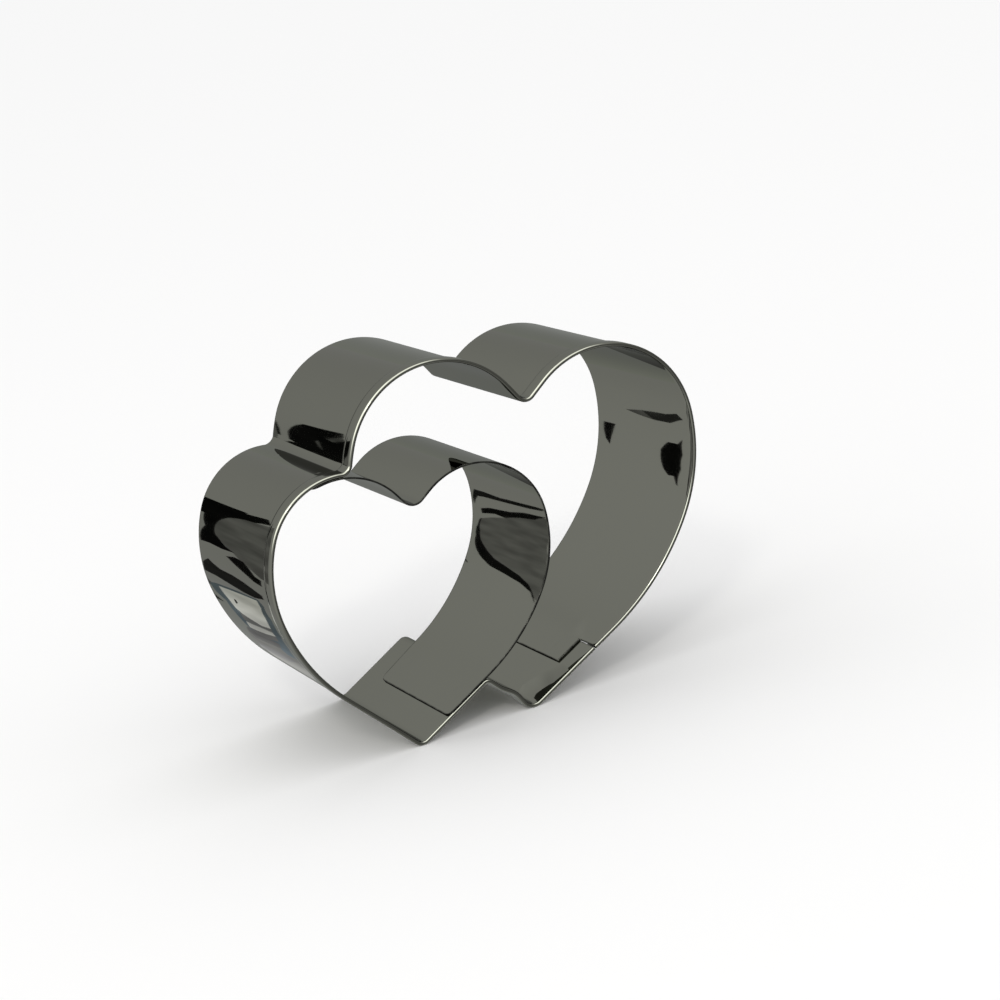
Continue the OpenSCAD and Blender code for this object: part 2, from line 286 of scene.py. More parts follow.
def sample_at(path, distance):
    miles = mileage(path)
    i = int(np.clip(np.searchsorted(miles, distance, side="right") - 1, 0, len(path) - 2))
    way = (distance - miles[i]) / (miles[i + 1] - miles[i])
    return tuple(a + way * (b - a) for a, b in zip(path[i], path[i + 1]))


def stretch(path, start, end):
    """The part of a path between two distances from its start."""
    miles = mileage(path)
    inside = [s for s, m in zip(path, miles) if start + CHORD_ERROR < m < end - CHORD_ERROR]
    return [sample_at(path, start)] + inside + [sample_at(path, end)]


def bowed(path, start, end, out):
    """A path pushed to its left between two distances from its start, most in the middle."""
    total = mileage(path)[-1]
    pushed = [sample_at(path, d) for d in steps_between(start, end, BOW_STEP)]
    path = stretch(path, 0, start)[:-1] + pushed + stretch(path, end, total)[1:]
    samples = []
    for (x, y, heading), mile in zip(path, mileage(path)):
        way = pi * min(1.0, max(0.0, (mile - start) / (end - start)))
        push = out * sin(way) ** 2
        slope = out * pi / (end - start) * sin(2 * way)
        samples.append((x - push * sin(heading), y + push * cos(heading), heading + atan(slope)))
    return samples


def crossing(path_a, path_b):
    """Where two paths cross, as the distances along each of them."""
    a, b = np.array(path_a)[:, :2], np.array(path_b)[:, :2]
    run_a, run_b = np.diff(a, axis=0)[:, None], np.diff(b, axis=0)[None]
    between = b[None, :-1] - a[:-1, None]
    area = run_a[..., 0] * run_b[..., 1] - run_a[..., 1] * run_b[..., 0]
    area = np.where(area == 0, np.inf, area)
    u = (between[..., 0] * run_b[..., 1] - between[..., 1] * run_b[..., 0]) / area
    v = (between[..., 0] * run_a[..., 1] - between[..., 1] * run_a[..., 0]) / area
    found = np.argwhere((area != np.inf) & (u >= 0) & (u < 1) & (v >= 0) & (v < 1))
    if len(found) == 0:
        raise RuntimeError("the two hearts don't cross")
    i, j = found[0]
    return (
        mileage(path_a)[i] + u[i, j] * hypot(*run_a[i, 0]),
        mileage(path_b)[j] + v[i, j] * hypot(*run_b[0, j]),
    )


def left_turn(start, end):
    return (end - start) % (2 * pi)


def notch(start, end, r):
    """A round notch between the end of one path and the start of the next."""
    turn = left_turn(start[2], end[2])
    handle = 4 / 3 * tan(turn / 4) * r
    a, b, c, d = (np.array(s[:2]) for s in (start, ahead(start, handle), ahead(end, -handle), end))
    n = max(2, ceil(turn / (2 * acos(1 - CHORD_ERROR / r))))
    samples = []
    for t in np.linspace(0, 1, n + 1)[1:-1]:
        spot = (1 - t) ** 3 * a + 3 * t * (1 - t) ** 2 * b + 3 * t * t * (1 - t) * c + t**3 * d
        run = (1 - t) ** 2 * (b - a) + 2 * t * (1 - t) * (c - b) + t * t * (d - c)
        samples.append((spot[0], spot[1], atan2(run[1], run[0])))
    return samples


class Outline:
    """The paths of both bands, their welds and their stand, from the sizes of the two hearts"""

    def __init__(self, scene):
        sizes = scene.cutter_bands
        large, little = scene.cutter_large, scene.cutter_small
        right, small_half = right_half(large), right_half(little)
        start = sizes.bow_start
        left = bowed(left_half(right), start, start + large.press_run, -large.press)
        place = (-sizes.small_left, -sizes.small_below)
        small_right = placed(small_half, sizes.small_turn, place)
        bulged = bowed(left_half(small_half), start, start + little.bulge_run, little.bulge)
        small_left = placed(bulged, sizes.small_turn, place)
        large_length = mileage(right)[-1]
        small_length = mileage(small_right)[-1]
        lower = crossing(left, small_right)
        upper = crossing(small_left, left)
        lower_reach = self.notch_reach(left, small_right, lower, sizes.notch_r)
        upper_reach = self.notch_reach(small_left, left, upper, sizes.notch_r)
        seam = large_length - sizes.seam_from_tip
        half_gap = sizes.seam_gap / 2

        first = stretch(right, seam + half_gap, large_length)
        to_lower = stretch(left, 0, lower[0] - lower_reach)
        small_lower = stretch(small_right, lower[1] + lower_reach, small_length)
        to_upper = stretch(small_left, 0, upper[0] - upper_reach)
        large_upper = stretch(left, upper[1] + upper_reach, mileage(left)[-1])
        self.outer = first + to_lower[1:]
        self.outer += notch(to_lower[-1], small_lower[0], sizes.notch_r) + small_lower + to_upper[1:]
        self.outer += notch(to_upper[-1], large_upper[0], sizes.notch_r) + large_upper
        self.outer += stretch(right, 0, seam - half_gap)[1:]
        self.butt = mileage(self.outer)[-1]
        self.rim_path = list(self.outer)
        self.outer += stretch(right, seam - half_gap, seam + half_gap + sizes.tongue_lap)[1:]
        self.inner = stretch(small_left, upper[0] - sizes.upper_lap, mileage(small_left)[-1])
        self.inner += stretch(small_right, 0, lower[1] + sizes.lower_lap)[1:]

        upper_weld = upper_reach + sizes.weld_share * (sizes.upper_lap - upper_reach)
        lower_weld = lower_reach + sizes.weld_share * (sizes.lower_lap - lower_reach)
        self.seam_weld = sample_at(right, seam + half_gap + sizes.tongue_lap / 2)
        self.tab_welds = [
            sample_at(small_left, upper[0] - upper_weld),
            sample_at(small_right, lower[1] + lower_weld),
        ]

        small_tip = placed([(0, little.tip_r, 0)], sizes.small_turn, place)[0]
        rise = large.tip_r - little.tip_r
        run = (-small_tip[0], large.tip_r - small_tip[1])
        turn = asin(rise / hypot(*run)) - atan2(run[1], run[0])
        rim = 2 * (sizes.sheet + sizes.hem_bend)
        edge = [(x - rim * sin(h), y + rim * cos(h), h) for x, y, h in self.rim_path]
        edge = np.array(placed(edge, turn, (0, 0)))
        middle = (edge[:, 0].max() + edge[:, 0].min()) / 2
        self.stand = (
            Matrix.Translation((-middle, sizes.depth / 2, -edge[:, 1].min()))
            @ Matrix.Rotation(pi / 2, 4, "X")
            @ Matrix.Rotation(turn, 4, "Z")
        )

    @staticmethod
    def notch_reach(path_a, path_b, at, r):
        turn = left_turn(sample_at(path_a, at[0])[2], sample_at(path_b, at[1])[2])
        return r * tan(turn / 2)


def helper(name, points, edges=(), faces=()):
    """An object that only guides the forming and isn't kept."""
    mesh = bpy.data.meshes.new(name)
    mesh.from_pydata([tuple(p) for p in points], edges, faces)
    thing = bpy.data.objects.new(name, mesh)
    bpy.context.scene.collection.objects.link(thing)
    return thing


def chain(count):
    return [(i, i + 1) for i in range(count - 1)]


def add_attribute(mesh, name, values, kind="FLOAT"):
    values = np.asarray(values, np.float32)
    attribute = mesh.attributes.new(name, kind, "POINT")
    attribute.data.foreach_set("vector" if kind == "FLOAT_VECTOR" else "value", values.ravel())


def path_object(name, path):
    """The line of a path, with the direction of the outside on each point."""
    thing = helper(name, [(x, y, 0) for x, y, _ in path], chain(len(path)))
    add_attribute(thing.data, "side", [(-sin(h), cos(h), 0) for _, _, h in path], "FLOAT_VECTOR")
    return thing


def profile_object(name, profile):
    """The middle line of a sheet's section, with x to the outside and y up."""
    return helper(name, [(x, y, 0) for x, y in profile], chain(len(profile)))


def steps_between(low, high, step):
    return list(np.linspace(low, high, max(2, ceil((high - low) / step) + 1)))


def steps(high, wide, welds, kept):
    """Distances from zero to high, close together near the welds and the ends."""
    low = 0.0
    values = set(steps_between(low, high, wide)) | set(kept)
    values |= {low + EDGE_SUPPORT, high - EDGE_SUPPORT}
    for place in welds:
        start, end = max(low, place - WELD_REACH), min(high, place + WELD_REACH)
        values |= set(steps_between(start, end, FINE_STEP))
    ordered = sorted(values)
    kept = sorted(set(kept) | {low, high, low + EDGE_SUPPORT, high - EDGE_SUPPORT})
    result = [low]
    for value in ordered[1:]:
        closest = min(kept, key=lambda k: abs(k - value))
        if value in kept or (value - result[-1] > FINE_STEP / 2 and abs(closest - value) > FINE_STEP / 2):
            result.append(value)
    return np.array(sorted(set(result)))


def round_corner(along, up, at, way, r):
    """Moves the points of a blank's square corner onto a round corner."""
    u = (along - at[0]) * way[0] / r + 1
    v = (up - at[1]) * way[1] / r + 1
    inside = (u > 0) & (v > 0)
    u, v = np.where(inside, u, 0), np.where(inside, v, 0)
    along = np.where(inside, at[0] + way[0] * r * (u * np.sqrt(1 - v * v / 2) - 1), along)
    up = np.where(inside, at[1] + way[1] * r * (v * np.sqrt(1 - u * u / 2) - 1), up)
    return along, up


def blank(name, columns, rows, kept_face, corners, corner_r):
    """A flat blank of sheet, with x along the band and y across it."""
    along, up = (grid.ravel() for grid in np.meshgrid(columns, rows, indexing="ij"))
    n = len(rows)
    faces = []
    for i in range(len(columns) - 1):
        for j in range(n - 1):
            if kept_face((columns[i] + columns[i + 1]) / 2, (rows[j] + rows[j + 1]) / 2):
                faces.append((i * n + j, (i + 1) * n + j, (i + 1) * n + j + 1, i * n + j + 1))
    used = np.unique(np.array(faces))
    order = np.full(len(along), -1)
    order[used] = np.arange(len(used))
    faces = [tuple(int(order[k]) for k in face) for face in faces]
    along, up = along[used], up[used]
    flat = along.copy(), up.copy()
    for at, way in corners:
        along, up = round_corner(along, up, at, way, corner_r)
    thing = helper(name, np.stack([along, up, np.zeros_like(up)], 1), (), faces)
    return thing, flat


class Tree:
    """A node tree that is written from left to right"""

    def __init__(self, tree):
        self.tree = tree
        self.count = 0

    def add(self, kind, settings=None, **links):
        """A node with its settings, and its inputs linked or set by name or number."""
        node = self.tree.nodes.new(kind)
        row, column = divmod(self.count, NODES_A_ROW)
        node.location = (NODE_WIDTH * column, -NODE_HEIGHT * row)
        self.count += 1
        for key, value in (settings or {}).items():
            setattr(node, key, value)
        for key, value in links.items():
            place = int(key[1:]) if key[0] == "i" and key[1:].isdigit() else key.replace("_", " ")
            self.feed(node.inputs[place], value)
        return node

    def feed(self, socket, value):
        if isinstance(value, bpy.types.NodeSocket):
            self.tree.links.new(value, socket)
        elif isinstance(value, bpy.types.Node):
            self.tree.links.new(value.outputs[0], socket)
        else:
            socket.default_value = value

    def math(self, operation, *values):
        return self.add(
            "ShaderNodeMath", {"operation": operation}, **{f"i{k}": v for k, v in enumerate(values)}
        )

    def vector(self, operation, *values):
        return self.add(
            "ShaderNodeVectorMath", {"operation": operation}, **{f"i{k}": v for k, v in enumerate(values)}
        )

    def scale(self, vector, factor):
        return self.add("ShaderNodeVectorMath", {"operation": "SCALE"}, i0=vector, Scale=factor)

    def noise(self, vector, scale, detail=2.0, roughness=0.5):
        return self.add(
            "ShaderNodeTexNoise", Vector=vector, Scale=scale, Detail=detail, Roughness=roughness
        ).outputs[0]

    def mixed(self, factor, a, b):
        return self.add("ShaderNodeMix", {"data_type": "RGBA"}, i0=factor, i6=a, i7=b).outputs[2]

    def ranged(self, value, low, high, to_low, to_high, smooth=True):
        kind = "SMOOTHSTEP" if smooth else "LINEAR"
        settings = {"interpolation_type": kind}
        return self.add("ShaderNodeMapRange", settings, i0=value, i1=low, i2=high, i3=to_low, i4=to_high)


FORMING_INPUTS = (
    ("Blank", "NodeSocketGeometry"),
    ("Path", "NodeSocketObject"),
    ("Profile", "NodeSocketObject"),
    ("Welds", "NodeSocketObject"),
    ("Wave", "NodeSocketFloat"),
    ("Wave Size", "NodeSocketFloat"),
    ("Dent", "NodeSocketFloat"),
    ("Dent Radius", "NodeSocketFloat"),
    ("Seed", "NodeSocketInt"),
    ("Steel", "NodeSocketMaterial"),
)


def forming_tree():
    """The node tree that bends a flat blank along a path and over a profile."""
    found = bpy.data.node_groups.get("Form Sheet")
    if found:
        return found
    group = bpy.data.node_groups.new("Form Sheet", "GeometryNodeTree")
    for name, kind in FORMING_INPUTS:
        group.interface.new_socket(name, in_out="INPUT", socket_type=kind)
    group.interface.new_socket("Sheet", in_out="OUTPUT", socket_type="NodeSocketGeometry")
    tree = Tree(group)
    given = tree.add("NodeGroupInput").outputs
    place = tree.add("ShaderNodeSeparateXYZ", i0=tree.add("GeometryNodeInputPosition"))

    def sampled(target, distance, value):
        info = tree.add("GeometryNodeObjectInfo", {"transform_space": "ORIGINAL"}, i0=target)
        line = tree.add("GeometryNodeMeshToCurve", i0=info.outputs["Geometry"])
        settings = {"mode": "LENGTH", "data_type": "FLOAT_VECTOR"}
        return tree.add("GeometryNodeSampleCurve", settings, Curves=line, Value=value, Length=distance)

    def attribute(name, kind):
        return tree.add("GeometryNodeInputNamedAttribute", {"data_type": kind}, Name=name)

    path = sampled(given["Path"], place.outputs["X"], attribute("side", "FLOAT_VECTOR"))
    section = sampled(given["Profile"], place.outputs["Y"], (0, 0, 0))
    reach = tree.add("ShaderNodeSeparateXYZ", i0=section.outputs["Position"])
    side = tree.vector("NORMALIZE", path.outputs["Value"])
    height = tree.add("ShaderNodeCombineXYZ", Z=reach.outputs["Y"])
    on_path = tree.vector("ADD", path.outputs["Position"], height)

    noise = tree.add(
        "ShaderNodeTexNoise",
        {"noise_dimensions": "4D"},
        Vector=on_path,
        W=given["Seed"],
        Scale=tree.math("DIVIDE", 1.0, given["Wave Size"]),
        Detail=1.0,
    )
    wave = tree.math("MULTIPLY", tree.math("SUBTRACT", noise.outputs[0], 0.5), given["Wave"])
    spots = tree.add("GeometryNodeObjectInfo", {"transform_space": "ORIGINAL"}, i0=given["Welds"])
    nearest = tree.add(
        "GeometryNodeProximity",
        {"target_element": "POINTS"},
        i0=spots.outputs["Geometry"],
        Source_Position=on_path,
    )
    bowl = tree.ranged(
        nearest.outputs["Distance"],
        tree.math("MULTIPLY", given["Dent Radius"], 0.5),
        given["Dent Radius"],
        given["Dent"],
        0.0,
    )
    dent = tree.math("MULTIPLY", bowl, attribute("press", "FLOAT"))
    out = tree.math("ADD", reach.outputs["X"], attribute("shift", "FLOAT"))
    out = tree.math("ADD", tree.math("ADD", out, wave), dent)
    formed = tree.vector("ADD", on_path, tree.scale(side, out))
    bent_sheet = tree.add("GeometryNodeSetPosition", Geometry=given["Blank"], Position=formed)
    smooth = tree.add("GeometryNodeSetShadeSmooth", i0=bent_sheet)
    whole = tree.add("GeometryNodeRealizeInstances", i0=smooth)
    coated = tree.add("GeometryNodeSetMaterial", Geometry=whole, Material=given["Steel"])
    tree.add("NodeGroupOutput", Sheet=coated)
    return group


def piece(name, mesh, stand, node):
    """A finished piece that stands for a node of the frame."""
    mesh.transform(stand)
    if not mesh.materials or mesh.materials[0] is None:
        raise RuntimeError(f"{name} has no material")
    thing = bpy.data.objects.new(name, mesh)
    bpy.context.scene.collection.objects.link(thing)
    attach(thing, "root")
    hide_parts(node)


def edge_distance(flat, corners):
    """The distance of each point of a blank from the nearest free edge, corner to corner."""
    along, up = flat
    gaps = []
    for low, high in map(sorted, zip(corners, corners[1:] + corners[:1])):
        dx = np.maximum(np.maximum(low[0] - along, along - high[0]), 0)
        dy = np.maximum(np.maximum(low[1] - up, up - high[1]), 0)
        gaps.append(np.hypot(dx, dy))
    return np.min(gaps, axis=0)


# The noises of the steel: their scales, in waves per metre, and what they change
ROLLING_SCALE = 9000.0
ROLLING_STRETCH = (0.04, 1.0, 1.0)
ROLLING_ROUGHNESS = 0.02
SMUDGE_SCALE = 90.0
SMUDGE_ROUGHNESS = 0.02
CLOUD_SCALE = 35.0
# Scale of the patches of the painted shade along the sheared edges
EDGE_SHADE_SCALE = 700.0
PEEL_SCALE = 400.0
PEEL_HEIGHT = 0.05 * MM
GRAIN_SCALE = 2500.0
GRAIN_HEIGHT = 0.02 * MM
BLUING_SCALE = 500.0
BLUING_GAIN = 1.6


def new_material(name):
    """A material without nodes, and its tree."""
    material = bpy.data.materials.new(name)
    material.use_nodes = True
    material.node_tree.nodes.clear()
    return material, Tree(material.node_tree)


def polished_steel(finish):
    """Bright rolled sheet: faint rolling lines, wiped patches, and sheared edges that are rougher and carry
    painted shade, near black.
    """
    found = bpy.data.materials.get("polished_steel_sheet")
    if found:
        return found
    material, tree = new_material("polished_steel_sheet")
    at = tree.add("ShaderNodeTexCoord").outputs["Object"]
    flat = tree.add("ShaderNodeAttribute", {"attribute_name": "sheet"}).outputs["Vector"]
    gap = tree.add("ShaderNodeAttribute", {"attribute_name": "edge_gap"}).outputs["Fac"]

    stretched = tree.vector("MULTIPLY", flat, ROLLING_STRETCH)
    lines = tree.noise(stretched, ROLLING_SCALE, detail=4.0, roughness=0.7)
    smudge = tree.noise(at, SMUDGE_SCALE, detail=4.0, roughness=0.6)
    smudge = tree.ranged(smudge, 0.45, 0.75, 0.0, 1.0)
    cloud = tree.noise(at, CLOUD_SCALE)
    # Painted shade: the colour goes near black within the edge reach of each sheared edge, in patches; the
    # same share also makes those edges rougher
    edge_shade_and_roughness = tree.ranged(gap, 0.0, finish.edge_reach, 1.0, 0.0)
    patches = tree.ranged(tree.noise(at, EDGE_SHADE_SCALE), 0.25, 0.6, 0.35, 1.0)
    edge_shade_and_roughness = tree.math("MULTIPLY", edge_shade_and_roughness, patches)
    base = tree.mixed(cloud, (*finish.steel, 1), (*finish.steel_dull, 1))
    base = tree.mixed(edge_shade_and_roughness, base, (*finish.raw_edge_shade, 1))
    gloss = tree.math("MULTIPLY_ADD", smudge, SMUDGE_ROUGHNESS, finish.gloss)
    lines = tree.math("SUBTRACT", lines, 0.5)
    gloss = tree.math("MULTIPLY_ADD", lines, ROLLING_ROUGHNESS, gloss)
    rough = tree.add("ShaderNodeMix", {"data_type": "FLOAT"}, i0=edge_shade_and_roughness, i2=gloss, i3=finish.edge_roughness)
    peel = tree.noise(at, PEEL_SCALE)
    orange = tree.add("ShaderNodeBump", Strength=0.01, Distance=PEEL_HEIGHT, Height=peel)
    shader = tree.add(
        "ShaderNodeBsdfPrincipled", Base_Color=base, Metallic=1.0, Roughness=rough.outputs[0], Normal=orange
    )
    shader.inputs["Specular Tint"].default_value = (finish.grazing, finish.grazing, finish.grazing, 1)
    tree.add("ShaderNodeOutputMaterial", Surface=shader)
    return material


def weld_steel(finish):
    """Blued and slightly rough metal of the weld nuggets."""
    material, tree = new_material("weld_steel")
    at = tree.add("ShaderNodeTexCoord").outputs["Object"]
    grain = tree.noise(at, GRAIN_SCALE, detail=4.0)
    ring = tree.noise(at, BLUING_SCALE)
    tint = tree.mixed(ring, (*finish.weld, 1), (*[c * BLUING_GAIN for c in finish.weld], 1))
    rough = tree.ranged(grain, 0.3, 0.7, 0.35, 0.55)
    bump = tree.add("ShaderNodeBump", Strength=0.4, Distance=GRAIN_HEIGHT, Height=grain)
    shader = tree.add(
        "ShaderNodeBsdfPrincipled", Base_Color=tint, Metallic=1.0, Roughness=rough, Normal=bump
    )
    tree.add("ShaderNodeOutputMaterial", Surface=shader)
    return material


def form_band(node, flat, path, profile, welds, scene, stand):
    """Forms a blank, gives it its thickness and edges, and keeps it as its node's piece."""
    finish = scene.cutter_finish
    guides = {
        "Path": path_object(node + "_path", path),
        "Profile": profile_object(node + "_profile", profile),
        "Welds": helper(node + "_weld_spots", welds),
    }
    values = {
        **guides,
        "Wave": finish.wave,
        "Wave Size": finish.wave_size,
        "Dent": finish.dent,
        "Dent Radius": finish.dent_d / 2,
        "Seed": finish.seed,
        "Steel": polished_steel(finish),
    }
    modifier = flat.modifiers.new("Form Sheet", "NODES")
    modifier.node_group = forming_tree()
    for item in modifier.node_group.interface.items_tree:
        if item.in_out == "INPUT" and item.name in values:
            modifier[item.identifier] = values[item.name]
    solid = flat.modifiers.new("Thickness", "SOLIDIFY")
    solid.thickness = scene.cutter_bands.sheet
    solid.offset = 0
    solid.use_even_offset = True
    rounding = flat.modifiers.new("Broken edges", "BEVEL")
    rounding.width = finish.edge_break
    rounding.segments = EDGE_SEGMENTS
    rounding.limit_method = "ANGLE"
    rounding.angle_limit = SHARP_ANGLE
    bpy.context.view_layer.update()
    graph = bpy.context.evaluated_depsgraph_get()
    mesh = bpy.data.meshes.new_from_object(flat.evaluated_get(graph), depsgraph=graph)
    mesh.name = node
    for thing in (flat, *guides.values()):
        bpy.data.objects.remove(thing)
    piece(node + "_sheet", mesh, stand, node)


def hem_profile(sizes):
    """The section of the outer band: its wall, half a turn round the fold, and the flap."""
    half = sizes.sheet / 2
    fold_r = sizes.hem_bend + half
    fold_up = sizes.depth - sizes.sheet - sizes.hem_bend
    flap_up = sizes.depth - sizes.hem_height
    profile = [(half, 0.0), (half, fold_up)]
    for k in range(1, FOLD_STEPS + 1):
        turn = pi * k / FOLD_STEPS
        profile.append((half + fold_r - fold_r * cos(turn), fold_up + fold_r * sin(turn)))
    profile.append((half + 2 * fold_r, flap_up + sizes.flap_end))
    profile.append((half + 2 * fold_r - sizes.flap_press, flap_up))
    return profile


def bends(path):
    """The places of a path where its heading turns fast, so that they keep their columns."""
    headings = np.unwrap(np.array(path)[:, 2])
    miles = mileage(path)
    runs = np.maximum(np.diff(miles), CHORD_ERROR)
    fast = np.abs(np.diff(headings)) / runs > 1 / TIGHT_BEND_R
    return [float(m) for m, f in zip(miles[1:], fast) if f]


def gaps_to(path, spot):
    """The distance of each sample of a path from a spot."""
    return np.hypot(*(np.array(path)[:, :2] - np.array(spot[:2])).T)


def weld_places(path, welds):
    """The places of the weld marks along a path, which can pass a weld more than once."""
    miles = mileage(path)
    places = []
    for weld in welds:
        gaps = gaps_to(path, weld)
        for i in range(1, len(gaps) - 1):
            if gaps[i] < WELD_REACH and gaps[i] <= gaps[i - 1] and gaps[i] <= gaps[i + 1]:
                places.append(miles[i])
    return places


def eased(way):
    """A share that starts and ends softly."""
    return way * way * (3 - 2 * way)


def mark(flat, spread, free, shift, press, layer):
    """Marks a blank with its edges, the step of a lap, the way the dents go and its places."""
    along, up = spread
    add_attribute(flat.data, "edge_gap", edge_distance(spread, free))
    add_attribute(flat.data, "shift", shift)
    add_attribute(flat.data, "press", press)
    add_attribute(flat.data, "sheet", np.stack([along, up, up * 0 + layer], 1), "FLOAT_VECTOR")


class CUTTER_OT_outer_band(bpy.types.Operator):
    """Form the outer band with its rolled rim and its lap seam"""

    bl_idname = "cutter.outer_band"
    bl_label = "Outer Band"

    def execute(self, context):
        scene = context.scene
        sizes = scene.cutter_bands
        outline = Outline(scene)
        profile = hem_profile(sizes)
        miles = mileage([(x, y, 0) for x, y in profile])
        tongue_top = sizes.depth - sizes.tongue_step
        total = mileage(outline.outer)[-1]
        end = outline.butt + sizes.seam_gap

        weld_ups = [tongue_top / 2 + way * sizes.weld_pitch / 2 for way in (-1, 1)]
        tab_middle = (sizes.setback + sizes.depth - sizes.drop) / 2
        tab_ups = [tab_middle + way * sizes.weld_pitch / 2 for way in (-1, 1)]
        places = weld_places(outline.outer, [outline.seam_weld] + outline.tab_welds)
        kept = bends(outline.outer) + [outline.butt, end]
        columns = steps(total, WIDE_STEP, places, kept)
        support = [tongue_top - EDGE_SUPPORT, tongue_top, tongue_top + EDGE_SUPPORT]
        kept = support + list(miles[1:-1])
        rows = steps(miles[-1], ROW_STEP, weld_ups + tab_ups, kept)

        def kept_face(s, h):
            return s < outline.butt or h < tongue_top

        flat, spread = blank("outer_blank", columns, rows, kept_face, [], 0)
        along, up = spread
        free = [(0, 0), (total, 0), (total, tongue_top), (outline.butt, tongue_top)]
        free += [(outline.butt, miles[-1]), (0, miles[-1])]
        start = outline.butt - sizes.joggle * eased(np.clip((tongue_top - up) / sizes.joggle, 0, 1))
        step = eased(np.clip((along - start) / (end - start), 0, 1))
        shift = -(sizes.sheet + sizes.play) * step
        mark(flat, spread, free, shift, np.where(along > outline.butt, 1.0, -1.0), 0)
        welds = [(*outline.seam_weld[:2], z) for z in weld_ups]
        welds += [(*spot[:2], z) for spot in outline.tab_welds for z in tab_ups]
        form_band("outer_band", flat, outline.outer, profile, welds, scene, outline.stand)
        return {"FINISHED"}


class CUTTER_OT_inner_band(bpy.types.Operator):
    """Form the inner band, which completes the small heart"""

    bl_idname = "cutter.inner_band"
    bl_label = "Inner Band"

    def execute(self, context):
        scene = context.scene
        sizes = scene.cutter_bands
        outline = Outline(scene)
        out = -sizes.play - sizes.sheet / 2
        low, high = sizes.setback, sizes.depth - sizes.drop
        total = mileage(outline.inner)[-1]
        tall = high - low
        ups = [tall / 2 + way * sizes.weld_pitch / 2 for way in (-1, 1)]
        miles = mileage(outline.inner)
        places = [float(miles[gaps_to(outline.inner, weld).argmin()]) for weld in outline.tab_welds]
        r = sizes.tab_corner
        ends = steps_between(0, r, FINE_STEP)
        kept = bends(outline.inner) + ends[1:] + [total - e for e in ends[1:]]
        columns = steps(total, WIDE_STEP, places, kept)
        kept = ends[1:] + [tall - e for e in ends[1:]]
        rows = steps(tall, ROW_STEP, ups, kept)
        corners = [((s * total, h * tall), (2 * s - 1, 2 * h - 1)) for s in (0, 1) for h in (0, 1)]
        flat, spread = blank("inner_blank", columns, rows, lambda s, h: True, corners, r)
        along = spread[0]
        free = [(0, 0), (total, 0), (total, tall), (0, tall)]
        mark(flat, spread, free, along * 0, along * 0 + 1, INNER_LAYER)
        slope = np.clip((along - total + sizes.slant_run) / sizes.slant_run, 0, 1) ** SLANT_POWER
        for vertex, way in zip(flat.data.vertices, slope):
            vertex.co.y += (1 - vertex.co.y / tall) * way * sizes.slant
        welds = [(*spot[:2], low + z) for spot in outline.tab_welds for z in ups]
        profile = [(out, low), (out, high)]
        form_band("inner_band", flat, outline.inner, profile, welds, scene, outline.stand)
        return {"FINISHED"}


class CUTTER_OT_welds(bpy.types.Operator):
    """Finish the spot welds that hold the laps"""

    bl_idname = "cutter.welds"
    bl_label = "Spot Welds"

    def execute(self, context):
        steel = weld_steel(context.scene.cutter_finish)
        for name in ("seam_welds", "upper_tab_welds", "lower_tab_welds"):
            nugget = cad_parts[name]
            if not nugget.material_slots:
                nugget.data.materials.append(steel)
            for place in nugget.material_slots:
                place.material = steel
        return {"FINISHED"}


WHITE = (1.0, 1.0, 1.0)
WARM_WHITE = (1.0, 1.0, 0.96)
SKY_BLUE = (0.72, 0.88, 1.0)

# The y of the upright planes that carry the flags, in millimetres. Three lie behind the
# object, at distances at which the camera sees each flag only in the wall it is meant for.
# The fourth lies inside the large heart's tip, where the walls mirror each other and go dark
UPPER_PLANE = 150
LOBE_PLANE = 100
WINDOW_PLANE = 60
TIP_PLANE = -4

